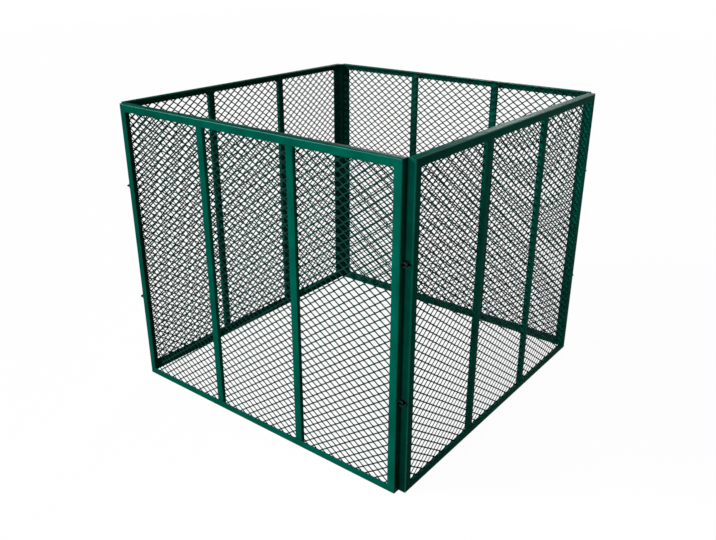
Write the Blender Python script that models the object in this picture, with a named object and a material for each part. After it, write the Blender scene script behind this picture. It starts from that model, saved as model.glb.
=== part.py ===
"""Metal compost bin: four framed mesh panels hooked together at the corners.

Each panel is a frame of mitred steel angle with two upright bars and a sheet of diamond
mesh behind them. Its right end, seen from outside, has two bent hooks, and its left end
has two eyes that take the hooks of the next panel. The bin has no floor and no lid.

Metres, +Z up. The origin is on the ground, in the middle of the square. The front panel
faces -Y.
"""
import math

import bmesh
import bpy
from mathutils import Vector

# Panels
PANEL_LENGTH = 1.000
PANEL_HEIGHT = 0.900
CORNER_GAP = 0.0003      # room between the inner edges of two panels at a corner
PIECE_GAP = 0.0003       # room between pieces that touch or are welded

# Steel angle of the frame, folded from strip
LEG = 0.022
LEG_THICKNESS = 0.003
FOLD_RADIUS = 0.001      # inside the fold

# Upright bars, rectangular tube
BAR_COUNT = 2
BAR_WIDTH = 0.023
BAR_DEPTH = 0.012
BAR_WALL = 0.0015
BAR_CORNER = 0.0015      # outside; the bore's corners have half of it

# Diamond mesh: two layers of slanting strands that end in a flat edge band
DIAMOND_WIDTH = 0.0322
DIAMOND_HEIGHT = 0.0236
STRAND_WIDTH = 0.0030
STRAND_THICKNESS = 0.0015
LAYER_GAP = 0.0005
EDGE_BAND = 0.004
BAND_STEP = 0.120        # spacing of the points along the outside of the edge band

# Hooks and eyes, by the height of the eye's top face
EYE_HEIGHTS = {"lower": 0.278, "upper": 0.650}
EYE_THICKNESS = 0.003
EYE_RADIUS = 0.008
PIN_DIAMETER = 0.006
PIN_CLEARANCE = 0.0004   # between the pin and the wall of its hole, all round
HOOK_RISE = 0.0062       # centre of the hook's arm above the eye
HOOK_BEND = 0.0045       # bend radius at the rod's centre line
PIN_BELOW_EYE = 0.006
FREE_PIN_LIFT = 0.0005   # at the open corner the pin stops this far above the eye
PIN_CHAMFER = 0.0008

# How finely the round shapes are made
ROD_SIDES = 10
BEND_STEPS = 4
QUARTER_HOLE_STEPS = 4   # the eye's neck has as many points as half the hole
FOLD_STEPS = 5
SMOOTH_ANGLE = 50        # degrees; sharper edges stay sharp

# What follows from them
HALF_LENGTH = PANEL_LENGTH / 2
HALF_DEPTH = LEG / 2
PIVOT_SETBACK = HALF_DEPTH + CORNER_GAP
PIVOT_SPACING = PANEL_LENGTH + 2 * PIVOT_SETBACK
HALF_SPACING = PIVOT_SPACING / 2
BAR_FRONT = -HALF_DEPTH + LEG_THICKNESS + PIECE_GAP
MESH_FRONT = BAR_FRONT + BAR_DEPTH + PIECE_GAP
MESH_BACK = MESH_FRONT + 2 * STRAND_THICKNESS + LAYER_GAP
RAIL_INSIDE = LEG_THICKNESS + PIECE_GAP

# Colour, roughness and metallic of each finish
FINISHES = {
    "green_paint": ((0.000, 0.150, 0.105, 1.0), 0.45, 0.0),
    "mesh_paint": ((0.000, 0.120, 0.085, 1.0), 0.50, 0.0),
    "zinc_steel": ((0.330, 0.350, 0.340, 1.0), 0.45, 1.0),
}


def clear_scene():
    for thing in list(bpy.data.objects):
        bpy.data.objects.remove(thing, do_unlink=True)


def make_material(name):
    colour, roughness, metallic = FINISHES[name]
    material = bpy.data.materials.new(name)
    material.use_nodes = True
    shader = material.node_tree.nodes["Principled BSDF"]
    shader.inputs["Base Color"].default_value = colour
    shader.inputs["Roughness"].default_value = roughness
    shader.inputs["Metallic"].default_value = metallic
    material.diffuse_color = colour
    return material


def finish_mesh(name, bm, smooth_angle=None):
    """Turns a closed bmesh into mesh data with its faces pointing out."""
    bm.normal_update()
    bmesh.ops.recalc_face_normals(bm, faces=bm.faces)
    data = bpy.data.meshes.new(name)
    bm.to_mesh(data)
    bm.free()
    if smooth_angle is not None:
        data.shade_smooth()
        data.set_sharp_from_angle(angle=math.radians(smooth_angle))
    return data


def arc(centre, radius, start, end, steps):
    """Points on an arc in a plane, with angles in degrees."""
    points = []
    for k in range(steps + 1):
        angle = math.radians(start + (end - start) * k / steps)
        points.append((centre[0] + radius * math.cos(angle),
                       centre[1] + radius * math.sin(angle)))
    return points


def angle_profile():
    """Section of the steel angle: first number from the edge of the panel, second from
    its outer face."""
    outer_radius = FOLD_RADIUS + LEG_THICKNESS
    centre = (outer_radius, outer_radius)
    points = arc(centre, outer_radius, 180, 270, FOLD_STEPS)
    points += [(LEG, 0.0), (LEG, LEG_THICKNESS)]
    points += arc(centre, FOLD_RADIUS, 270, 180, 2)
    points += [(LEG_THICKNESS, LEG), (0.0, LEG)]
    return points


def angle_member(name, length):
    """A length of angle along +X from its left mitre, heel at the outer edge of the
    panel (Y up the panel face, Z into the panel)."""
    mitre_gap = PIECE_GAP / math.sqrt(2)
    bm = bmesh.new()
    section = [bm.verts.new((0.0, a, b)) for a, b in angle_profile()]
    face = bm.faces.new(section)
    grown = bmesh.ops.extrude_face_region(bm, geom=[face])["geom"]
    far_end = [v for v in grown if isinstance(v, bmesh.types.BMVert)]
    bmesh.ops.translate(bm, vec=(length, 0, 0), verts=far_end)
    for vert in section:
        vert.co.x += vert.co.y + mitre_gap
    for vert in far_end:
        vert.co.x -= vert.co.y + mitre_gap
    return finish_mesh(name, bm, smooth_angle=SMOOTH_ANGLE)


def turned(data, name, place):
    """A copy of mesh data with every point moved by place(x, y, z)."""
    bm = bmesh.new()
    bm.from_mesh(data)
    for vert in bm.verts:
        vert.co = Vector(place(*vert.co))
    return finish_mesh(name, bm, smooth_angle=SMOOTH_ANGLE)


def frame_meshes():
    """The two stiles and two rails of a panel, in the panel's frame: X along the panel,
    outer face at -HALF_DEPTH in Y, ground at Z = 0."""
    rail = angle_member("rail", PANEL_LENGTH)
    stile = angle_member("stile", PANEL_HEIGHT)
    return {
        "bottom_rail": turned(rail, "bottom_rail", lambda x, a, b: (
            x - HALF_LENGTH, b - HALF_DEPTH, a)),
        "top_rail": turned(rail, "top_rail", lambda x, a, b: (
            x - HALF_LENGTH, b - HALF_DEPTH, PANEL_HEIGHT - a)),
        "eye_stile": turned(stile, "eye_stile", lambda x, a, b: (
            a - HALF_LENGTH, b - HALF_DEPTH, x)),
        "hook_stile": turned(stile, "hook_stile", lambda x, a, b: (
            HALF_LENGTH - a, b - HALF_DEPTH, x)),
    }


def rounded_rectangle(width, depth, radius):
    """Section of a tube, centred in X, with its front face at Y = 0."""
    points = []
    corners = ((1, 0, -90), (1, 1, 0), (-1, 1, 90), (-1, 0, 180))
    for side, back, start in corners:
        centre = (side * (width / 2 - radius), radius if not back else depth - radius)
        points += arc(centre, radius, start, start + 90, 2)
    return points


def bar_mesh():
    """An upright bar between the flat legs of the two rails, open at both ends."""
    outer = rounded_rectangle(BAR_WIDTH, BAR_DEPTH, BAR_CORNER)
    bore = rounded_rectangle(BAR_WIDTH - 2 * BAR_WALL, BAR_DEPTH - 2 * BAR_WALL,
                             BAR_CORNER / 2)
    bm = bmesh.new()
    outside = [bm.verts.new((x, BAR_FRONT + y, RAIL_INSIDE)) for x, y in outer]
    inside = [bm.verts.new((x, BAR_FRONT + BAR_WALL + y, RAIL_INSIDE)) for x, y in bore]
    count = len(outside)
    ring = []
    for k in range(count):
        n = (k + 1) % count
        ring.append(bm.faces.new((outside[k], outside[n], inside[n], inside[k])))
    grown = bmesh.ops.extrude_face_region(bm, geom=ring)["geom"]
    top = [v for v in grown if isinstance(v, bmesh.types.BMVert)]
    bmesh.ops.translate(bm, vec=(0, 0, PANEL_HEIGHT - 2 * RAIL_INSIDE), verts=top)
    return finish_mesh("bar", bm, smooth_angle=SMOOTH_ANGLE)


def bar_places():
    """Middle of each bar along the panel, for equal bays."""
    clear = PANEL_LENGTH - 2 * LEG - BAR_COUNT * BAR_WIDTH
    bay = clear / (BAR_COUNT + 1)
    first = -HALF_LENGTH + LEG + bay + BAR_WIDTH / 2
    return [first + k * (bay + BAR_WIDTH) for k in range(BAR_COUNT)]


class StrandLayer:
    """One layer of parallel strands across a rectangle, rising to the right when slope
    is 1 and falling when it is -1. It keeps the points where the strands' edges meet the
    rectangle's four sides."""

    def __init__(self, low, high, slope):
        self.low = low
        self.high = high
        self.along = Vector((DIAMOND_WIDTH, slope * DIAMOND_HEIGHT)).normalized()
        self.across = Vector((-self.along.y, self.along.x))
        self.spacing = DIAMOND_WIDTH * abs(self.across.x)
        self.corners = [Vector((low[0], low[1])), Vector((high[0], low[1])),
                        Vector((high[0], high[1])), Vector((low[0], high[1]))]
        self.strands = [self.edges(offset) for offset in self.offsets()]

    def offsets(self):
        """Distances of the strands from the rectangle's middle. A strand that would end
        on a corner is moved just off it."""
        middle = (self.corners[0] + self.corners[2]) / 2
        reach = [(corner - middle).dot(self.across) for corner in self.corners]
        room = STRAND_WIDTH
        count = int((max(reach) - room) / self.spacing)
        offsets = []
        for k in range(-count, count + 1):
            offset = k * self.spacing
            for corner in reach:
                if abs(offset - corner) < room:
                    offset = corner + math.copysign(room, offset - corner)
            offsets.append(offset)
        return offsets

    def edges(self, offset):
        """The two long edges of a strand, each as its start and end on the sides."""
        middle = (self.corners[0] + self.corners[2]) / 2
        lines = []
        for side in (-0.5, 0.5):
            point = middle + self.across * (offset + side * STRAND_WIDTH)
            lines.append(self.clip(point))
        return lines

    def clip(self, point):
        """Where a line through point, along the strands, enters and leaves."""
        enter, leave = -math.inf, math.inf
        for axis in (0, 1):
            a = (self.low[axis] - point[axis]) / self.along[axis]
            b = (self.high[axis] - point[axis]) / self.along[axis]
            enter = max(enter, min(a, b))
            leave = min(leave, max(a, b))
        return point + self.along * enter, point + self.along * leave


def side_of(point, low, high):
    """Which side of the rectangle a point is on: 0 bottom, 1 right, 2 top, 3 left."""
    distances = (abs(point.y - low[1]), abs(point.x - high[0]),
                 abs(point.y - high[1]), abs(point.x - low[0]))
    return distances.index(min(distances))


def zip_strip(bm, first, second, axis):
    """Fills the strip between two rows of vertices that run the same way."""
    i = j = 0
    sign = 1 if first[-1].co[axis] > first[0].co[axis] else -1
    while i < len(first) - 1 or j < len(second) - 1:
        step_first = j == len(second) - 1
        if i < len(first) - 1 and j < len(second) - 1:
            step_first = sign * (first[i + 1].co[axis] - second[j + 1].co[axis]) < 0
        if step_first:
            bm.faces.new((first[i], first[i + 1], second[j]))
            i += 1
        else:
            bm.faces.new((first[i], second[j + 1], second[j]))
            j += 1


def band_points(low, high):
    """Points around the outside of the edge band, one list for each side."""
    corners = [Vector((low[0], low[1])), Vector((high[0], low[1])),
               Vector((high[0], high[1])), Vector((low[0], high[1]))]
    sides = []
    for k in range(4):
        start, end = corners[k], corners[(k + 1) % 4]
        pieces = max(1, round((end - start).length / BAND_STEP))
        sides.append([start.lerp(end, n / pieces) for n in range(pieces + 1)])
    return sides


def layer_faces(bm, layer, face_depth, back_depth):
    """Strands of a layer, and the walls of the edge band between them. Returns, for each
    side, the row of vertices at the face and the row at the back of the layer."""
    rows = []
    cache = {}

    def vert(point, depth):
        key = (round(point.x, 7), round(point.y, 7), depth)
        if key not in cache:
            cache[key] = bm.verts.new((point.x, depth, point.y))
        return cache[key]

    ends = [[] for _ in range(4)]
    for (a_start, a_end), (b_start, b_end) in layer.strands:
        for depth in (face_depth, back_depth):
            bm.faces.new([vert(p, depth) for p in (a_start, a_end, b_end, b_start)])
        for start, end in ((a_start, a_end), (b_start, b_end)):
            bm.faces.new((vert(start, face_depth), vert(end, face_depth),
                          vert(end, back_depth), vert(start, back_depth)))
        ends[side_of(a_start, layer.low, layer.high)].append((a_start, b_start))
        ends[side_of(a_end, layer.low, layer.high)].append((a_end, b_end))

    for k in range(4):
        start, end = layer.corners[k], layer.corners[(k + 1) % 4]
        along = (end - start).normalized()
        pairs = [sorted(pair, key=lambda p: (p - start).dot(along)) for pair in ends[k]]
        pairs.sort(key=lambda pair: (pair[0] - start).dot(along))
        points = [start] + [p for pair in pairs for p in pair] + [end]
        for n in range(0, len(points), 2):
            p, q = points[n], points[n + 1]
            bm.faces.new((vert(p, face_depth), vert(q, face_depth),
                          vert(q, back_depth), vert(p, back_depth)))
        rows.append(([vert(p, face_depth) for p in points],
                     [vert(p, back_depth) for p in points]))
    return rows


def diamond_mesh():
    """The mesh sheet: rising strands in front, falling strands behind, one edge band."""
    outer_low = (-HALF_LENGTH + RAIL_INSIDE, RAIL_INSIDE)
    outer_high = (HALF_LENGTH - RAIL_INSIDE, PANEL_HEIGHT - RAIL_INSIDE)
    low = (outer_low[0] + EDGE_BAND, outer_low[1] + EDGE_BAND)
    high = (outer_high[0] - EDGE_BAND, outer_high[1] - EDGE_BAND)
    bm = bmesh.new()
    front = layer_faces(bm, StrandLayer(low, high, 1),
                        MESH_FRONT, MESH_FRONT + STRAND_THICKNESS)
    back = layer_faces(bm, StrandLayer(low, high, -1),
                       MESH_BACK, MESH_BACK - STRAND_THICKNESS)
    corner_rows = {}

    def corner(point, depth):
        key = (round(point.x, 7), round(point.y, 7), depth)
        if key not in corner_rows:
            corner_rows[key] = bm.verts.new((point.x, depth, point.y))
        return corner_rows[key]

    for k, points in enumerate(band_points(outer_low, outer_high)):
        axis = 0 if k in (0, 2) else 2
        front_edge = [corner(p, MESH_FRONT) for p in points]
        back_edge = [corner(p, MESH_BACK) for p in points]
        zip_strip(bm, front_edge, front[k][0], axis)
        zip_strip(bm, front[k][1], back[k][1], axis)
        zip_strip(bm, back_edge, back[k][0], axis)
        for n in range(len(points) - 1):
            bm.faces.new((front_edge[n], front_edge[n + 1], back_edge[n + 1], back_edge[n]))
    return finish_mesh("mesh", bm)


def eye_mesh():
    """A flat eye: its hole is on the pivot at the origin, and its square end meets the
    panel's end at +X. The top face is at Z = 0."""
    reach = PIVOT_SETBACK - PIECE_GAP
    neck = [(0, -1), (0.5, -1), (1, -1), (1, -0.5), (1, 0), (1, 0.5), (1, 1), (0.5, 1)]
    outline = [(x * reach, y * EYE_RADIUS) for x, y in neck]
    outline += arc((0, 0), EYE_RADIUS, 90, 270, 2 * QUARTER_HOLE_STEPS)[:-1]
    hole_radius = PIN_DIAMETER / 2 + PIN_CLEARANCE
    bore = arc((0, 0), hole_radius, -90, 270, 4 * QUARTER_HOLE_STEPS)[:-1]
    bm = bmesh.new()
    rim = [bm.verts.new((x, y, 0)) for x, y in outline]
    hole = [bm.verts.new((x, y, 0)) for x, y in bore]
    ring = []
    for k in range(len(rim)):
        n = (k + 1) % len(rim)
        ring.append(bm.faces.new((rim[k], rim[n], hole[n], hole[k])))
    grown = bmesh.ops.extrude_face_region(bm, geom=ring)["geom"]
    under = [v for v in grown if isinstance(v, bmesh.types.BMVert)]
    bmesh.ops.translate(bm, vec=(0, 0, -EYE_THICKNESS), verts=under)
    return finish_mesh("eye", bm, smooth_angle=SMOOTH_ANGLE)


def hook_mesh(name, pin_end):
    """A hook bent from round rod: the arm comes from the panel's end at -X, turns down on
    the pivot at the origin and ends at pin_end. Z = 0 is the eye's top face."""
    radius = PIN_DIAMETER / 2
    bm = bmesh.new()
    across = arc((0, 0), radius, 0, 360, ROD_SIDES)[:-1]
    start = -PIVOT_SETBACK + PIECE_GAP
    ring = [bm.verts.new((start, x, HOOK_RISE + y)) for x, y in across]
    tip = bm.faces.new(ring)

    def grow(geometry):
        made = bmesh.ops.extrude_face_region(bm, geom=geometry)["geom"]
        faces = [f for f in made if isinstance(f, bmesh.types.BMFace)]
        verts = [v for v in made if isinstance(v, bmesh.types.BMVert)]
        return faces, verts

    faces, verts = grow([tip])
    bmesh.ops.translate(bm, vec=(-HOOK_BEND - start, 0, 0), verts=verts)
    bend = bmesh.ops.spin(bm, geom=faces, cent=(-HOOK_BEND, 0, HOOK_RISE - HOOK_BEND),
                          axis=(0, 1, 0), angle=math.radians(90), steps=BEND_STEPS,
                          use_duplicate=False)["geom_last"]
    end_faces = [f for f in bend if isinstance(f, bmesh.types.BMFace)]
    faces, verts = grow(end_faces)
    drop = HOOK_RISE - HOOK_BEND - pin_end - PIN_CHAMFER
    bmesh.ops.translate(bm, vec=(0, 0, -drop), verts=verts)
    faces, verts = grow(faces)
    bmesh.ops.translate(bm, vec=(0, 0, -PIN_CHAMFER), verts=verts)
    for vert in verts:
        vert.co.x *= 1 - PIN_CHAMFER / radius
        vert.co.y *= 1 - PIN_CHAMFER / radius
    bmesh.ops.delete(bm, geom=[f for f in bm.faces if is_inner_cap(f)], context="FACES_ONLY")
    return finish_mesh(name, bm, smooth_angle=SMOOTH_ANGLE)


def is_inner_cap(face):
    """A cap left inside the rod: all of its edges have three faces."""
    return all(len(edge.link_faces) > 2 for edge in face.edges)


def add_piece(name, data, material, parent, offset):
    piece = bpy.data.objects.new(name, data.copy())
    piece.data.name = name
    piece.data.materials.append(material)
    piece.parent = parent
    piece.location = offset
    bpy.context.scene.collection.objects.link(piece)


def add_axis(name, place, turn):
    axis = bpy.data.objects.new(name, None)
    axis.location = place
    axis.rotation_euler = (0, 0, math.radians(turn))
    axis.empty_display_size = 0.05
    bpy.context.scene.collection.objects.link(axis)
    return axis


def add_panel(name, place, turn, centre, shapes, materials, hook):
    """One panel. The empty at place is on the panel's own hinge axis, and centre is the
    panel's middle from there, along the panel."""
    axis = add_axis(name + "_axis", place, turn)
    middle = Vector((centre, 0, 0))
    for piece in ("eye_stile", "hook_stile", "top_rail", "bottom_rail"):
        add_piece(f"{name}_{piece}", shapes[piece], materials["green_paint"], axis, middle)
    for number, across in enumerate(bar_places(), start=1):
        add_piece(f"{name}_bar_{number}", shapes["bar"], materials["green_paint"], axis,
                  middle + Vector((across, 0, 0)))
    add_piece(f"{name}_mesh", shapes["mesh"], materials["mesh_paint"], axis, middle)
    for level, height in EYE_HEIGHTS.items():
        add_piece(f"{name}_{level}_eye", shapes["eye"], materials["zinc_steel"], axis,
                  middle + Vector((-HALF_SPACING, 0, height)))
        add_piece(f"{name}_{level}_hook", hook, materials["zinc_steel"], axis,
                  middle + Vector((HALF_SPACING, 0, height)))


def build():
    clear_scene()
    materials = {name: make_material(name) for name in FINISHES}
    shapes = frame_meshes()
    shapes["bar"] = bar_mesh()
    shapes["mesh"] = diamond_mesh()
    shapes["eye"] = eye_mesh()
    hook = hook_mesh("hook", -EYE_THICKNESS - PIN_BELOW_EYE)
    free_hook = hook_mesh("free_hook", FREE_PIN_LIFT)
    half = HALF_SPACING
    add_panel("front", (-half, -half, 0), 0, half, shapes, materials, free_hook)
    add_panel("right", (half, half, 0), 90, -half, shapes, materials, hook)
    add_panel("back", (0, half, 0), 180, 0, shapes, materials, hook)
    add_panel("left", (-half, half, 0), 270, half, shapes, materials, hook)


build()
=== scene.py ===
"""Looks of the metal compost bin: four framed panels of green painted steel with diamond
mesh, hooked together at the corners. Metres, +Z up, the front panel faces -Y."""
import math

import bpy
from mathutils import Matrix, Quaternion, Vector


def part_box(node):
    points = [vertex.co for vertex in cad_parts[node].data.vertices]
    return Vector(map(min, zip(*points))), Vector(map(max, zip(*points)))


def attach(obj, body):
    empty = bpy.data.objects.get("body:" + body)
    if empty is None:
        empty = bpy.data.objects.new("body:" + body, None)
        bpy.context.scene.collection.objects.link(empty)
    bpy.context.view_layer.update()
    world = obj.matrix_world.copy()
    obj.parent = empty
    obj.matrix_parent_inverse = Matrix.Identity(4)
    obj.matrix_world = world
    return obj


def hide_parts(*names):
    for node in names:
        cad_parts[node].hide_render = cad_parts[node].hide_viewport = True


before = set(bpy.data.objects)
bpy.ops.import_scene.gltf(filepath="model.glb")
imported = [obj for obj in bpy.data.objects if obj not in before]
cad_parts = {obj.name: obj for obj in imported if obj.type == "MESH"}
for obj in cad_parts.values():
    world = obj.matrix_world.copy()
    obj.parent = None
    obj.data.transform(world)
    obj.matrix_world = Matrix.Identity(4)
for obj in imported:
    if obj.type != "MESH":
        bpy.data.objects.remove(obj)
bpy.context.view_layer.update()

# Camera.
# The view from the front right, a little above the rim.
PICTURE_WIDTH = 716                      # pixels
FOCAL_LENGTH = 751.97                    # pixels
SENSOR_WIDTH = 36.0                      # mm
CAMERA_PLACE = (1.39647, -1.82629, 1.31945)
AZIMUTH = math.radians(37.930)           # from the front towards +X
ELEVATION = math.radians(23.273)
ROLL = math.radians(0.116)

camera = bpy.data.objects.new("camera", bpy.data.cameras.new("camera"))
bpy.context.scene.collection.objects.link(camera)
camera.data.sensor_width = SENSOR_WIDTH
camera.data.lens = FOCAL_LENGTH * SENSOR_WIDTH / PICTURE_WIDTH
camera.location = CAMERA_PLACE
backward = Vector((math.sin(AZIMUTH) * math.cos(ELEVATION),
                   -math.cos(AZIMUTH) * math.cos(ELEVATION),
                   math.sin(ELEVATION)))
camera.rotation_mode = "QUATERNION"
level = (-backward).to_track_quat("-Z", "Y")
camera.rotation_quaternion = level @ Quaternion((0, 0, 1), ROLL)
bpy.context.scene.camera = camera

# Painted steel angle: stiles and rails.
# Each panel's frame is four lengths of 22 x 22 x 3 mm folded steel angle, mitred, welded
# and ground flush on the outside, then painted. The heel of the angle runs round the
# outside of the panel, so one leg shows its face and the other closes its edge.
PANELS = ("front", "right", "back", "left")      # each a quarter turn on from the last
LEG = 0.022
LEG_THICKNESS = 0.003
HEEL_RADIUS = 0.0032
EDGE_ROUNDING = 0.0005
SHARP_EDGE = math.radians(60)            # an edge that turns more than this is rounded
CORNER_GAP = 0.0003                      # closed here, so that no light shows through
FACING = 0.5                             # cosine from which a face looks a given way
SQUARE_ON = 0.9                          # the same, of a face that looks straight there
HEEL_FACING = 0.1                        # the same, of the faces of the rounded heel
MERGE_DISTANCE = 0.000002

PAINT_PATCH = 0.060                      # size of the lighter and darker patches
PATCH_EDGES = (0.35, 0.65)               # noise values of the darkest and lightest paint
GLOSS_SPREAD = 0.06                      # of the roughness, either way
PEEL_SIZE = 0.0012                       # of the orange-peel skin
PEEL_DEPTH = 0.00003
PEEL_STRENGTH = 0.15
PAINT_IOR = 1.5


def linear(hex_colour):
    """A colour written as sRGB hex, as the linear values that Blender reads."""
    values = [int(hex_colour[k:k + 2], 16) / 255 for k in (1, 3, 5)]
    return [v / 12.92 if v <= 0.04045 else ((v + 0.055) / 1.055) ** 2.4
            for v in values] + [1.0]


def add_node(owner, kind, settings=None, links=None):
    """A node with its settings by name, and its inputs set or linked by name."""
    tree = owner.node_tree
    node = tree.nodes.new(kind)
    for name, value in (settings or {}).items():
        setattr(node, name, value)
    for name, value in (links or {}).items():
        if isinstance(value, bpy.types.NodeSocket):
            tree.links.new(value, node.inputs[name])
        else:
            node.inputs[name].default_value = value
    return node


def new_material(name):
    """A material with an empty node tree."""
    material = bpy.data.materials.new(name)
    material.use_nodes = True
    material.node_tree.nodes.clear()
    return material


def speckle(material, size, detail, roughness=0.5):
    """Noise that lies still on the piece, with specks of about the given size."""
    place = add_node(material, "ShaderNodeTexCoord").outputs["Object"]
    return add_node(material, "ShaderNodeTexNoise",
                    links={"Vector": place, "Scale": 1 / size, "Detail": detail,
                           "Roughness": roughness}).outputs["Fac"]


def finish_material(material, shader):
    """The material, with the shader as its surface."""
    add_node(material, "ShaderNodeOutputMaterial", links={"Surface": shader})
    return material


def green_enamel(name, light_hex, dark_hex, roughness, sheen_level, sheen_tint="#ffffff"):
    """Sprayed and baked green enamel: the coat is a little uneven in tone, thin and
    lighter in some places, with a fine orange-peel skin."""
    material = new_material(name)
    patches = speckle(material, PAINT_PATCH, 4.0, 0.55)
    tone = add_node(material, "ShaderNodeMapRange",
                    links={"Value": patches, "From Min": PATCH_EDGES[0],
                           "From Max": PATCH_EDGES[1]})
    colour = add_node(material, "ShaderNodeMix", {"data_type": "RGBA"},
                      {0: tone.outputs["Result"], 6: linear(dark_hex),
                       7: linear(light_hex)})
    gloss = add_node(material, "ShaderNodeMapRange",
                     links={"Value": patches, "To Min": roughness - GLOSS_SPREAD,
                            "To Max": roughness + GLOSS_SPREAD})
    skin = add_node(material, "ShaderNodeBump",
                    links={"Height": speckle(material, PEEL_SIZE, 1.0),
                           "Strength": PEEL_STRENGTH, "Distance": PEEL_DEPTH})
    shader = add_node(material, "ShaderNodeBsdfPrincipled",
                      links={"Base Color": colour.outputs[2],
                             "Roughness": gloss.outputs["Result"],
                             "Normal": skin.outputs["Normal"],
                             "IOR": PAINT_IOR, "Specular IOR Level": sheen_level,
                             "Specular Tint": linear(sheen_tint)})
    return finish_material(material, shader.outputs["BSDF"])


# The same coat on the whole frame; the rounded heel has a copy of it, much glossier and
# with a green sheen: a painted highlight, the thin line of light along the heel.
LIGHT_GREEN, DARK_GREEN = "#006452", "#005646"
frame_enamel = green_enamel("green_enamel_on_angle", LIGHT_GREEN, DARK_GREEN,
                            roughness=0.36, sheen_level=0.0034)
heel_highlight_enamel = green_enamel("green_enamel_with_painted_highlight_on_heels", LIGHT_GREEN, DARK_GREEN,
                           roughness=0.32, sheen_level=0.25, sheen_tint="#66ffe6")


def deselect():
    """Leaves object mode with nothing selected."""
    if bpy.context.object and bpy.context.object.mode != "OBJECT":
        bpy.ops.object.mode_set(mode="OBJECT")
    bpy.ops.object.select_all(action="DESELECT")


def select_only(piece):
    deselect()
    piece.select_set(True)
    bpy.context.view_layer.objects.active = piece


def block(name, low, high):
    """A box primitive from its lowest to its highest corner, as a start for a piece."""
    deselect()
    middle = (Vector(low) + Vector(high)) / 2
    bpy.ops.mesh.primitive_cube_add(size=1, location=middle)
    piece = bpy.context.object
    piece.name = name
    piece.data.name = name
    piece.scale = Vector(high) - Vector(low)
    bpy.ops.object.transform_apply(location=True, rotation=True, scale=True)
    return piece


def pick(piece, kind, test):
    """Selects, in edit mode, the faces or edges for which test(middle, normal) holds. An
    edge has the sum of its faces' normals."""
    bpy.ops.object.mode_set(mode="OBJECT")
    bpy.context.tool_settings.mesh_select_mode = (False, kind == "EDGE", kind == "FACE")
    data = piece.data
    data.vertices.foreach_set("select", [False] * len(data.vertices))
    data.edges.foreach_set("select", [False] * len(data.edges))
    data.polygons.foreach_set("select", [False] * len(data.polygons))
    normals = {}
    for face in data.polygons:
        for key in face.edge_keys:
            normals[key] = normals.get(key, Vector()) + face.normal
    if kind == "FACE":
        for face in data.polygons:
            face.select = test(face.center, face.normal)
    else:
        for edge in data.edges:
            a, b = (data.vertices[v].co for v in edge.vertices)
            edge.select = test((a + b) / 2, normals.get(edge.key, Vector()))
    bpy.ops.object.mode_set(mode="EDIT")


def apply_modifier(piece, kind, **settings):
    """Adds a modifier, sets it and applies it."""
    select_only(piece)
    modifier = piece.modifiers.new(kind.lower(), kind)
    for name, value in settings.items():
        setattr(modifier, name, value)
    bpy.ops.object.modifier_apply(modifier=modifier.name)


def cut(piece, point, normal):
    """Cuts off what lies beyond a plane, on the side that its normal points to, and
    closes the cut."""
    select_only(piece)
    bpy.ops.object.mode_set(mode="EDIT")
    bpy.ops.mesh.select_all(action="SELECT")
    bpy.ops.mesh.bisect(plane_co=point, plane_no=normal, use_fill=True, clear_outer=True)
    bpy.ops.object.mode_set(mode="OBJECT")


def face_outwards(piece):
    """Merges doubled vertices and turns all faces outwards."""
    select_only(piece)
    bpy.ops.object.mode_set(mode="EDIT")
    bpy.ops.mesh.select_all(action="SELECT")
    bpy.ops.mesh.remove_doubles(threshold=MERGE_DISTANCE)
    bpy.ops.mesh.normals_make_consistent(inside=False)
    bpy.ops.object.mode_set(mode="OBJECT")


def turned_copies(piece, part_name, panels=PANELS):
    """Copies of the front panel's piece for the given panels, each turned by quarters
    round the middle of the bin and given the name of its own panel. The piece itself is
    deleted."""
    pieces = {}
    for number, panel in enumerate(PANELS):
        if panel not in panels:
            continue
        copy = piece.copy()
        copy.data = piece.data.copy()
        copy.name = copy.data.name = f"{panel}_{part_name}"
        bpy.context.scene.collection.objects.link(copy)
        copy.data.transform(Matrix.Rotation(math.radians(90 * number), 4, "Z"))
        pieces[panel] = copy
    bpy.data.objects.remove(piece, do_unlink=True)
    return pieces


def smooth(piece, degrees=35):
    """Shades the piece smooth but for edges that turn by more than the given degrees."""
    select_only(piece)
    bpy.ops.object.shade_smooth_by_angle(angle=math.radians(degrees))


def paint(piece, material):
    piece.data.materials.clear()
    piece.data.materials.append(material)


def steel_angle(node, across, along):
    """A length of angle as long as the panel's side, with open ends. across is the way
    from the heel to the middle of the panel."""
    low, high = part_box(node)
    for k in range(3):
        if along[k]:
            low[k], high[k] = panel_low[k], panel_high[k]
    if across.x > 0:
        low.x = panel_low.x
    elif across.x < 0:
        high.x = panel_high.x
    high.y += CORNER_GAP
    piece = block(node + "_start", low, high)
    outward, front = -across, Vector((0, -1, 0))
    pick(piece, "FACE", lambda middle, normal:
         normal.dot(outward) < FACING and normal.dot(front) < FACING)
    bpy.ops.mesh.delete(type="FACE")
    pick(piece, "EDGE", lambda middle, normal:
         normal.dot(outward) > FACING and normal.dot(front) > FACING)
    bpy.ops.mesh.bevel(offset=HEEL_RADIUS, segments=8, affect="EDGES")
    bpy.ops.object.mode_set(mode="OBJECT")
    apply_modifier(piece, "SOLIDIFY", thickness=LEG_THICKNESS, offset=-1,
                   use_even_offset=True)
    apply_modifier(piece, "BEVEL", width=EDGE_ROUNDING, segments=2, limit_method="ANGLE",
                   angle_limit=SHARP_EDGE)
    # The faces of the heel take the second material, with its painted highlight.
    for face in piece.data.polygons:
        on_heel = (face.normal.dot(outward) > HEEL_FACING
                   and face.normal.dot(front) > HEEL_FACING)
        face.material_index = int(on_heel)
    return piece


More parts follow.
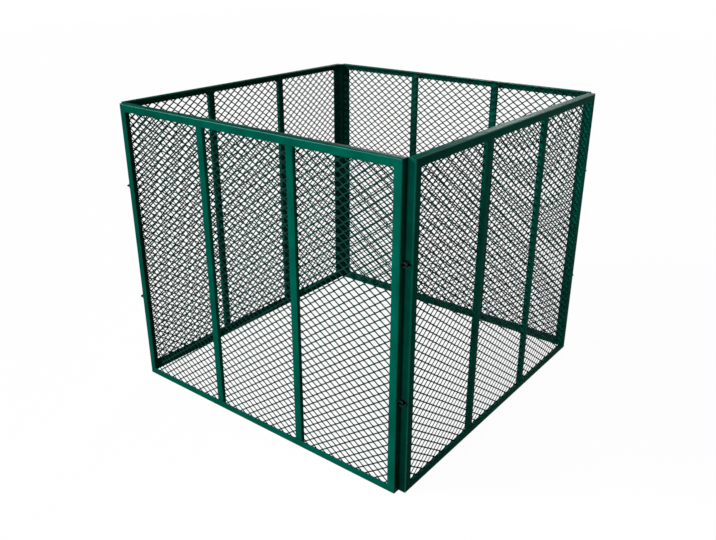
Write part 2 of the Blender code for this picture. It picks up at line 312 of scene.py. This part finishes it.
panel_low, panel_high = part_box("front_eye_stile")[0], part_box("front_hook_stile")[1]
panel_low.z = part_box("front_bottom_rail")[0].z
panel_high.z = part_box("front_top_rail")[1].z
panel_low.x -= CORNER_GAP
panel_high.x += CORNER_GAP
towards_middle = {
    "top_rail": Vector((0, 0, -1)),
    "bottom_rail": Vector((0, 0, 1)),
    "eye_stile": Vector((1, 0, 0)),
    "hook_stile": Vector((-1, 0, 0)),
}
for member, across in towards_middle.items():
    along = Vector((1, 0, 0)) if across.z else Vector((0, 0, 1))
    piece = steel_angle("front_" + member, across, along)
    for end in (along, -along):
        corner = Vector([panel_high[k] if (end - across)[k] > 0 else panel_low[k]
                         for k in range(3)])
        cut(piece, corner, end + across)
    face_outwards(piece)
    smooth(piece)
    for panel, copy in turned_copies(piece, member + "_angle").items():
        copy.data.materials.append(frame_enamel)
        copy.data.materials.append(heel_highlight_enamel)
        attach(copy, panel + "_panel")
        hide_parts(f"{panel}_{member}")

# Upright bars.
# Two lengths of 23 x 12 mm rectangular tube stand between the rails of each panel. Their
# ends butt on the rails' flat legs and are welded there.
TUBE_CORNER = 0.0007                     # outside; the inside corners are sharp
TUBE_WALL = 0.0015

for number in (1, 2):
    node = f"front_bar_{number}"
    low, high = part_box(node)
    rail_inside = panel_low.z + LEG_THICKNESS
    low.z, high.z = rail_inside, panel_high.z - LEG_THICKNESS
    piece = block(node + "_start", low, high)
    pick(piece, "FACE", lambda middle, normal: abs(normal.z) > FACING)
    bpy.ops.mesh.delete(type="FACE")
    bpy.ops.object.mode_set(mode="OBJECT")
    apply_modifier(piece, "SOLIDIFY", thickness=TUBE_WALL, offset=-1,
                   use_even_offset=True)
    tube_middle = (low + high) / 2
    pick(piece, "EDGE", lambda middle, normal:
         abs(normal.x) > FACING and abs(normal.y) > FACING
         and normal.dot(middle - tube_middle) > 0)
    bpy.ops.mesh.bevel(offset=TUBE_CORNER, segments=4, affect="EDGES")
    face_outwards(piece)
    smooth(piece)
    for panel, copy in turned_copies(piece, f"bar_{number}_tube").items():
        paint(copy, frame_enamel)
        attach(copy, panel + "_panel")
        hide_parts(f"{panel}_bar_{number}")

# Diamond mesh.
# One sheet of expanded steel a panel: slit and stretched until the slits open into
# diamonds 32 mm wide and 24 mm high. The strands lean like louvres from one bond to the
# next. The sheet lies behind the bars, inside the legs of the frame, and is painted a
# darker, greyer green than the frame: painted shade, for the shade on its thin strands.
DIAMOND_WIDTH = 0.0322
DIAMOND_HEIGHT = 0.0236
SHEET_THICKNESS = 0.0015
BOND_LENGTH = 0.0040
BOND_HALF_HEIGHT = 0.0037
STRAND_HEIGHT = 0.0042                   # of an upright slice through a strand
STRAND_LEAN = 0.0004                     # from a strand's lower to its upper edge
STRAND_MERGE = 0.00001                   # distance at which strand ends become one

# A darker, greyer green than the frame's coat: painted shade of the thin strands.
mesh_enamel_with_painted_shade = green_enamel("green_enamel_and_painted_shade_on_mesh", "#14483f", "#0f3831",
                           roughness=0.50, sheen_level=0.015)

low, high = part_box("front_mesh")
sheet_middle = (low + high) / 2
across_half = Vector((BOND_LENGTH / 2, SHEET_THICKNESS / 2, BOND_HALF_HEIGHT))
bond = block("bond", sheet_middle - across_half, sheet_middle + across_half)
bpy.ops.object.mode_set(mode="EDIT")
bpy.ops.mesh.bisect(plane_co=sheet_middle, plane_no=(0, 0, 1))
for side in (1, -1):
    pick(bond, "FACE", lambda middle, normal: normal.z * side > FACING)
    bpy.ops.transform.translate(value=(0, -side * STRAND_LEAN, 0))
for side in (1, -1):
    for rise in (1, -1):
        pick(bond, "FACE", lambda middle, normal:
             normal.x * side > SQUARE_ON
             and (middle.z - sheet_middle.z) * rise > 0
             and abs(middle.x - sheet_middle.x) < BOND_LENGTH)
        bpy.ops.mesh.extrude_region_move(TRANSFORM_OT_translate={
            "value": (side * (DIAMOND_WIDTH / 4 - BOND_LENGTH / 2),
                      rise * STRAND_LEAN / 2,
                      rise * (DIAMOND_HEIGHT / 4 - BOND_HALF_HEIGHT / 2))})
        bpy.ops.transform.resize(value=(1, 1, STRAND_HEIGHT / BOND_HALF_HEIGHT),
                                 center_override=sheet_middle + Vector((
                                     side * DIAMOND_WIDTH / 4, 0,
                                     rise * DIAMOND_HEIGHT / 4)))
pick(bond, "FACE", lambda middle, normal:
     abs(middle.x - sheet_middle.x) > DIAMOND_WIDTH / 4 - STRAND_MERGE)
bpy.ops.mesh.delete(type="FACE")
bpy.ops.mesh.select_all(action="SELECT")
bpy.ops.mesh.duplicate_move(TRANSFORM_OT_translate={
    "value": (DIAMOND_WIDTH / 2, 0, DIAMOND_HEIGHT / 2)})
bpy.ops.object.mode_set(mode="OBJECT")
sheet = bond
across_count = 2 * math.ceil((high.x - low.x) / DIAMOND_WIDTH / 2) + 1
up_count = 2 * math.ceil((high.z - low.z) / DIAMOND_HEIGHT / 2) + 1
sheet.data.transform(Matrix.Translation((-(across_count // 2) * DIAMOND_WIDTH, 0,
                                         -(up_count // 2) * DIAMOND_HEIGHT)))
apply_modifier(sheet, "ARRAY", count=across_count, use_relative_offset=False,
               use_constant_offset=True,
               constant_offset_displace=(DIAMOND_WIDTH, 0, 0))
apply_modifier(sheet, "ARRAY", count=up_count, use_relative_offset=False,
               use_constant_offset=True,
               constant_offset_displace=(0, 0, DIAMOND_HEIGHT))
bpy.ops.object.mode_set(mode="EDIT")
bpy.ops.mesh.select_all(action="SELECT")
bpy.ops.mesh.remove_doubles(threshold=STRAND_MERGE)
for corner, normal in ((low, (-1, 0, 0)), (low, (0, 0, -1)),
                       (high, (1, 0, 0)), (high, (0, 0, 1))):
    bpy.ops.mesh.select_all(action="SELECT")
    bpy.ops.mesh.bisect(plane_co=corner, plane_no=normal, clear_outer=True)
bpy.ops.mesh.select_all(action="SELECT")
bpy.ops.mesh.fill_holes(sides=0)
face_outwards(sheet)
for panel, copy in turned_copies(sheet, "mesh_sheet").items():
    paint(copy, mesh_enamel_with_painted_shade)
    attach(copy, panel + "_panel")
    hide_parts(f"{panel}_mesh")

# Hooks.
# 6 mm steel rod bent down through a right angle, with the pin's end chamfered, welded by
# the end of its arm to the hook stile. Left bare of paint: zinc plating, almost black and
# green-grey.
ROD_RADIUS = 0.003
ROD_SIDES = 24
BEND_RADIUS = 0.0045                     # of the rod's middle line
PIN_CHAMFER = 0.0008
CLOUD_SIZE = 0.004                       # of the clouds in the zinc
DULL_SPREAD = 0.1                        # of the roughness, either way


def zinc_plate(name, light_hex, dark_hex, roughness):
    """Zinc plating in an almost black, green-grey tone: a cloudy metal with a slight
    satin sheen."""
    material = new_material(name)
    clouds = speckle(material, CLOUD_SIZE, 3.0)
    colour = add_node(material, "ShaderNodeMix", {"data_type": "RGBA"},
                      {0: clouds, 6: linear(dark_hex), 7: linear(light_hex)})
    dull = add_node(material, "ShaderNodeMapRange",
                    links={"Value": clouds, "To Min": roughness - DULL_SPREAD,
                           "To Max": roughness + DULL_SPREAD})
    shader = add_node(material, "ShaderNodeBsdfPrincipled",
                      links={"Base Color": colour.outputs[2], "Metallic": 1.0,
                             "Roughness": dull.outputs["Result"]})
    return finish_material(material, shader.outputs["BSDF"])


zinc = zinc_plate("dark_green_grey_zinc_plate", "#243a36", "#142522", roughness=0.50)


def bent_hook(node, pin_end):
    """A hook in its CAD node's box, with its arm from the stile along +X. pin_end is the
    height of the pin's lower end."""
    low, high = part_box(node)
    low.z = pin_end
    root = Vector((low.x, (low.y + high.y) / 2, high.z - ROD_RADIUS))
    pin_x = high.x - ROD_RADIUS
    deselect()
    bpy.ops.mesh.primitive_circle_add(vertices=ROD_SIDES, radius=ROD_RADIUS,
                                      fill_type="NGON", location=root,
                                      rotation=(0, math.radians(90), 0))
    hook = bpy.context.object
    bpy.ops.object.transform_apply(location=True, rotation=True, scale=True)
    bpy.ops.object.mode_set(mode="EDIT")
    bpy.ops.mesh.select_all(action="SELECT")
    bpy.ops.mesh.extrude_region_move(TRANSFORM_OT_translate={
        "value": (pin_x - BEND_RADIUS - root.x, 0, 0)})
    bend_middle = Vector((pin_x - BEND_RADIUS, root.y, root.z - BEND_RADIUS))
    bpy.ops.mesh.spin(steps=10, angle=math.radians(90), center=bend_middle,
                      axis=(0, -1, 0))
    bpy.ops.mesh.extrude_region_move(TRANSFORM_OT_translate={
        "value": (0, 0, low.z + PIN_CHAMFER - bend_middle.z)})
    bpy.ops.mesh.extrude_region_move(TRANSFORM_OT_translate={
        "value": (0, 0, -PIN_CHAMFER)})
    shrink = 1 - PIN_CHAMFER / ROD_RADIUS
    bpy.ops.transform.resize(value=(shrink, shrink, 1),
                             center_override=(pin_x, root.y, low.z))
    face_outwards(hook)
    smooth(hook)
    return hook


for level in ("lower", "upper"):
    hooked_pin_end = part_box(f"right_{level}_hook")[0].z
    free_pin_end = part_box(f"front_{level}_hook")[0].z
    for panels, pin_end in ((("right", "back", "left"), hooked_pin_end),
                            (("front",), free_pin_end)):
        hook = bent_hook(f"front_{level}_hook", pin_end)
        for panel, copy in turned_copies(hook, f"{level}_hook_rod", panels).items():
            paint(copy, zinc)
            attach(copy, panel + "_panel")
            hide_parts(f"{panel}_{level}_hook")

# Eyes.
# Pieces of 16 x 3 mm flat steel, rounded at one end and drilled for the hook's pin, and
# welded by their square end to the eye stile. Their edges are tumbled, the zinc is dark.
BORE_RADIUS = 0.0034
BORE_SIDES = 32
ROUND_END_SIDES = 48                     # of a whole circle
TUMBLED_EDGE = 0.0003
TUMBLED_ANGLE = math.radians(50)         # an edge that turns more than this is tumbled


def flat_eye(node):
    """An eye in its CAD node's box, with its square end at +X."""
    low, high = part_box(node)
    radius = (high.y - low.y) / 2
    bore = Vector((low.x + radius, (low.y + high.y) / 2, (low.z + high.z) / 2))
    deselect()
    bpy.ops.mesh.primitive_cylinder_add(vertices=ROUND_END_SIDES, radius=radius,
                                        depth=high.z - low.z, location=bore)
    eye = bpy.context.object
    bpy.ops.object.transform_apply(location=True, rotation=True, scale=True)
    cut(eye, bore, (1, 0, 0))
    pick(eye, "FACE", lambda middle, normal: normal.x > SQUARE_ON)
    bpy.ops.mesh.extrude_region_move(TRANSFORM_OT_translate={
        "value": (high.x - bore.x, 0, 0)})
    deselect()
    bpy.ops.mesh.primitive_cylinder_add(vertices=BORE_SIDES, radius=BORE_RADIUS,
                                        depth=2 * (high.z - low.z), location=bore)
    drill = bpy.context.object
    apply_modifier(eye, "BOOLEAN", operation="DIFFERENCE", object=drill)
    bpy.data.objects.remove(drill, do_unlink=True)
    apply_modifier(eye, "BEVEL", width=TUMBLED_EDGE, segments=2, limit_method="ANGLE",
                   angle_limit=TUMBLED_ANGLE)
    face_outwards(eye)
    smooth(eye)
    return eye


for level in ("lower", "upper"):
    eye = flat_eye(f"front_{level}_eye")
    for panel, copy in turned_copies(eye, f"{level}_eye_plate").items():
        paint(copy, zinc)
        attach(copy, panel + "_panel")
        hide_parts(f"{panel}_{level}_eye")

# Welds of the hooks and eyes.
# A ring of weld round the root of each hook's arm, and a run above and below the square
# end of each eye. Left bare like the hooks, and rippled from drop to drop.
DROP_RADIUS = 0.0018                     # of the steel that one drop of weld leaves
DROP_STEP = 0.0016
MELT_SIZE = 0.0004                       # how finely the drops are melted into one body
WELD_SMOOTHING = 60                      # degrees


def weld_drop(name, place, radius=DROP_RADIUS):
    """One round drop, the start of a run or ring."""
    deselect()
    bpy.ops.mesh.primitive_ico_sphere_add(subdivisions=2, radius=radius, location=place)
    drop = bpy.context.object
    drop.name = drop.data.name = name
    bpy.ops.object.transform_apply(location=True, rotation=True, scale=True)
    return drop


def melt(drops):
    """Makes overlapping drops one closed body."""
    apply_modifier(drops, "REMESH", mode="VOXEL", voxel_size=MELT_SIZE)
    smooth(drops, WELD_SMOOTHING)
    return drops


def weld_run(name, start, end, radius=DROP_RADIUS):
    """A straight run of weld between two points."""
    drops = weld_drop(name, start, radius)
    steps = round((end - start).length / DROP_STEP)
    apply_modifier(drops, "ARRAY", count=steps + 1, use_relative_offset=False,
                   use_constant_offset=True,
                   constant_offset_displace=(end - start) / steps)
    return melt(drops)


def weld_ring(name, middle, radius):
    """A ring of weld round an arm that lies along X."""
    drops = weld_drop(name, middle + Vector((0, 0, radius)))
    steps = round(2 * math.pi * radius / DROP_STEP)
    bpy.ops.object.mode_set(mode="EDIT")
    bpy.ops.mesh.select_all(action="SELECT")
    bpy.ops.mesh.spin(steps=steps, angle=2 * math.pi, center=middle, axis=(1, 0, 0),
                      dupli=True)
    bpy.ops.object.mode_set(mode="OBJECT")
    return melt(drops)


for level in ("lower", "upper"):
    low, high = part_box(f"front_{level}_hook")
    root = Vector((panel_high.x - CORNER_GAP, (low.y + high.y) / 2, high.z - ROD_RADIUS))
    ring = weld_ring("hook_weld", root, ROD_RADIUS)
    low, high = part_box(f"front_{level}_eye")
    end_x = panel_low.x + CORNER_GAP
    runs = []
    for side, height in (("above", high.z), ("below", low.z)):
        run = weld_run("eye_weld", Vector((end_x, low.y + DROP_RADIUS, height)),
                       Vector((end_x, high.y - DROP_RADIUS, height)))
        runs.append((run, f"{level}_eye_weld_{side}"))
    for weld, part_name in [(ring, f"{level}_hook_weld")] + runs:
        for panel, copy in turned_copies(weld, part_name).items():
            paint(copy, zinc)
            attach(copy, panel + "_panel")

# Welds of the frame.
# On the inside of each corner a run of weld follows the mitre on the face leg and another
# the seam between the edge legs. Each bar is welded down both narrow sides, to the rail's
# face leg and to its edge leg. All are painted over with the frame.
FILLET_RADIUS = 0.0017
CORNER_RADIUS = 0.0022
SINK = 0.0005                            # how deep a run's middle line lies in the steel

outer_low, outer_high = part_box("front_eye_stile")[0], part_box("front_hook_stile")[1]
face_back = outer_low.y + LEG_THICKNESS
runs = []
for x_outer, x_in in ((outer_low.x, 1), (outer_high.x, -1)):
    for z_outer, z_in in ((outer_low.z, 1), (outer_high.z, -1)):
        def inwards(distance, y):
            return Vector((x_outer + x_in * distance, y, z_outer + z_in * distance))

        y = face_back - SINK
        runs.append(weld_run("mitre", inwards(LEG_THICKNESS + 2 * CORNER_RADIUS, y),
                             inwards(LEG - FILLET_RADIUS, y), FILLET_RADIUS))
        seam = LEG_THICKNESS - SINK
        runs.append(weld_run("seam", inwards(seam, face_back),
                             inwards(seam, outer_high.y - CORNER_RADIUS), CORNER_RADIUS))
for number in (1, 2):
    bar_low, bar_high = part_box(f"front_bar_{number}")
    for x in (bar_low.x + SINK, bar_high.x - SINK):
        for z_outer, z_in in ((outer_low.z, 1), (outer_high.z, -1)):
            edge_leg = z_outer + z_in * (LEG_THICKNESS - SINK)
            leg_end = z_outer + z_in * (LEG - FILLET_RADIUS)
            runs.append(weld_run("to_edge_leg", Vector((x, face_back, edge_leg)),
                                 Vector((x, bar_high.y - FILLET_RADIUS, edge_leg)),
                                 FILLET_RADIUS))
            runs.append(weld_run("to_face_leg", Vector((x, face_back, edge_leg)),
                                 Vector((x, face_back, leg_end)), FILLET_RADIUS))


def join(pieces):
    """Makes the pieces one object."""
    deselect()
    for piece in pieces:
        piece.select_set(True)
    bpy.context.view_layer.objects.active = pieces[0]
    bpy.ops.object.join()
    return pieces[0]


for panel, copy in turned_copies(join(runs), "frame_welds").items():
    paint(copy, frame_enamel)
    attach(copy, panel + "_panel")

# Tack welds of the mesh.
# Small drops of weld that hold the sheet's edge to the frame's edge legs, and the sheet
# to the backs of the bars, every fifth diamond. Painted with the sheet's darker green,
# with its painted shade.
TACK_RADIUS = 0.0024
TACK_THICKNESS = 0.0032
TACK_SMOOTHING = 80                      # degrees
TACK_EVERY = 5                           # diamonds
ALONG_RAIL = 5                           # tacks
ALONG_STILE = 7                          # tacks, and as many along a bar

mesh_low, mesh_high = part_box("front_mesh")
mesh_middle = (mesh_low + mesh_high) / 2


def tack_row(middle, step, count):
    """Tacks in a row round a middle one."""
    deselect()
    bpy.ops.mesh.primitive_uv_sphere_add(segments=8, ring_count=5, radius=TACK_RADIUS,
                                         location=middle - step * (count // 2))
    tack = bpy.context.object
    tack.scale.y = TACK_THICKNESS / (2 * TACK_RADIUS)
    bpy.ops.object.transform_apply(location=True, rotation=True, scale=True)
    apply_modifier(tack, "ARRAY", count=count, use_relative_offset=False,
                   use_constant_offset=True, constant_offset_displace=step)
    return tack


sideways = Vector((TACK_EVERY * DIAMOND_WIDTH, 0, 0))
upwards = Vector((0, 0, TACK_EVERY * DIAMOND_HEIGHT))
rows = []
for z in (outer_low.z + LEG_THICKNESS, outer_high.z - LEG_THICKNESS):
    rows.append(tack_row(Vector((mesh_middle.x, mesh_middle.y, z)), sideways, ALONG_RAIL))
for x in (outer_low.x + LEG_THICKNESS, outer_high.x - LEG_THICKNESS):
    rows.append(tack_row(Vector((x, mesh_middle.y, mesh_middle.z)), upwards, ALONG_STILE))
for number in (1, 2):
    bar_low, bar_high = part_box(f"front_bar_{number}")
    rows.append(tack_row(Vector(((bar_low.x + bar_high.x) / 2, mesh_middle.y,
                                 mesh_middle.z)), upwards, ALONG_STILE))
tacks = join(rows)
smooth(tacks, TACK_SMOOTHING)
for panel, copy in turned_copies(tacks, "mesh_tacks").items():
    paint(copy, mesh_enamel_with_painted_shade)
    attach(copy, panel + "_panel")

# Ground, backdrop and light.
# A white studio. The floor shows white to the eye and in reflections. The backdrop shows
# white to the eye, and in reflections up to its left edge, past which the room is dim.
# A large soft light stands at the front left and another low at the back that skims the
# rails, and two lamps put a touch of light on the near corner and the right panel.
world = bpy.data.worlds.new("studio")
bpy.context.scene.world = world
world.use_nodes = True
world.node_tree.nodes.clear()


def seen_directly(owner):
    """1 for what the camera sees, also in a reflection or through glass, and 0 for the
    light that falls on other things."""
    path = add_node(owner, "ShaderNodeLightPath")
    either = add_node(owner, "ShaderNodeMath", {"operation": "MAXIMUM"},
                      {0: path.outputs["Is Camera Ray"],
                       1: path.outputs["Is Glossy Ray"]})
    return add_node(owner, "ShaderNodeMath", {"operation": "MAXIMUM"},
                    {0: either.outputs[0], 1: path.outputs["Is Transmission Ray"]}
                    ).outputs[0]


FILL_LIGHT = 0.08                        # of the dim room, where the backdrop's is 1
SWEEP_EDGE = math.radians(-40)           # the backdrop's left edge, from +Y towards +X
SWEEP_SLOPE = 0.5                        # how far the edge leans to the right upwards
FADE_START, FADE_END = -0.25, 0.07       # sine of the angle past the edge
around = add_node(world, "ShaderNodeTexCoord").outputs["Generated"]
past_edge = add_node(world, "ShaderNodeVectorMath", {"operation": "DOT_PRODUCT"},
                     {0: around, 1: (math.cos(SWEEP_EDGE), -math.sin(SWEEP_EDGE),
                                     -SWEEP_SLOPE)})
reflected = add_node(world, "ShaderNodeMapRange",
                     links={"Value": past_edge.outputs["Value"], "From Min": FADE_START,
                            "From Max": FADE_END, "To Min": FILL_LIGHT, "To Max": 1.0})
path = add_node(world, "ShaderNodeLightPath")
indirect = add_node(world, "ShaderNodeMapRange",
                    links={"Value": path.outputs["Is Glossy Ray"], "To Min": FILL_LIGHT,
                           "To Max": reflected.outputs["Result"]})
seen = add_node(world, "ShaderNodeMath", {"operation": "MAXIMUM"},
                {0: path.outputs["Is Camera Ray"],
                 1: path.outputs["Is Transmission Ray"]})
sky_strength = add_node(world, "ShaderNodeMapRange",
                        links={"Value": seen.outputs[0], "To Max": 1.0,
                               "To Min": indirect.outputs["Result"]})
sky = add_node(world, "ShaderNodeBackground",
               links={"Color": (1, 1, 1, 1), "Strength": sky_strength.outputs["Result"]})
add_node(world, "ShaderNodeOutputWorld", links={"Surface": sky.outputs["Background"]})

FLOOR_BELOW = 0.0002                     # the floor lies just under the rails
FLOOR_SIZE = 24
FLOOR_GLOW = 0.965                       # of the white that is seen; lamps add the rest
deselect()
bpy.ops.mesh.primitive_plane_add(size=FLOOR_SIZE, location=(0, 0, -FLOOR_BELOW))
floor = bpy.context.object
floor.name = "studio_floor"
# White paper: the lit part shows the shadow of the bin, and little of it lights the bin.
floor_white = new_material("white_studio_floor")
shaded = add_node(floor_white, "ShaderNodeBsdfDiffuse",
                  links={"Color": linear("#404040")})
glow = add_node(floor_white, "ShaderNodeEmission", links={"Strength": FLOOR_GLOW})
shown = add_node(floor_white, "ShaderNodeAddShader",
                 links={0: shaded.outputs["BSDF"], 1: glow.outputs["Emission"]})
dim = add_node(floor_white, "ShaderNodeBsdfDiffuse", links={"Color": linear("#181818")})
mixed = add_node(floor_white, "ShaderNodeMixShader",
                 links={0: seen_directly(floor_white), 1: dim.outputs["BSDF"],
                        2: shown.outputs["Shader"]})
paint(floor, finish_material(floor_white, mixed.outputs["Shader"]))


def soft_sun(name, azimuth, elevation, spread, strength):
    """Soft light from far away. azimuth is 0 from the front and grows towards +X, spread
    is how wide the light looks, both in degrees, and strength is in W/m2."""
    lamp = bpy.data.objects.new(name, bpy.data.lights.new(name, "SUN"))
    lamp.data.angle = math.radians(spread)
    lamp.data.energy = strength
    turn, rise = math.radians(azimuth), math.radians(elevation)
    towards = Vector((math.sin(turn) * math.cos(rise), -math.cos(turn) * math.cos(rise),
                      math.sin(rise)))
    lamp.rotation_mode = "QUATERNION"
    lamp.rotation_quaternion = (-towards).to_track_quat("-Z", "Y")
    bpy.context.scene.collection.objects.link(lamp)


def soft_box(name, place, aim, width, height, power):
    """A rectangular lamp, aimed at a place, for a soft touch of light. power is in W."""
    lamp = bpy.data.objects.new(name, bpy.data.lights.new(name, "AREA"))
    lamp.data.shape = "RECTANGLE"
    lamp.data.size, lamp.data.size_y = width, height
    lamp.data.energy = power
    lamp.location = place
    lamp.rotation_mode = "QUATERNION"
    lamp.rotation_quaternion = (Vector(aim) - Vector(place)).to_track_quat("-Z", "Y")
    bpy.context.scene.collection.objects.link(lamp)


soft_sun("front_light", azimuth=-47, elevation=22, spread=20, strength=2.95)
soft_sun("back_light", azimuth=207, elevation=18, spread=13, strength=0.98)
soft_box("near_light", place=(0.42, -1.45, 0.75), aim=(0.45, -0.5, 0.65),
         width=0.4, height=0.5, power=3.8)
soft_box("right_light", place=(1.2, 0.1, 0.6), aim=(0.5, 0.1, 0.6),
         width=1.0, height=0.3, power=1.25)

bpy.context.scene.view_settings.view_transform = "Standard"
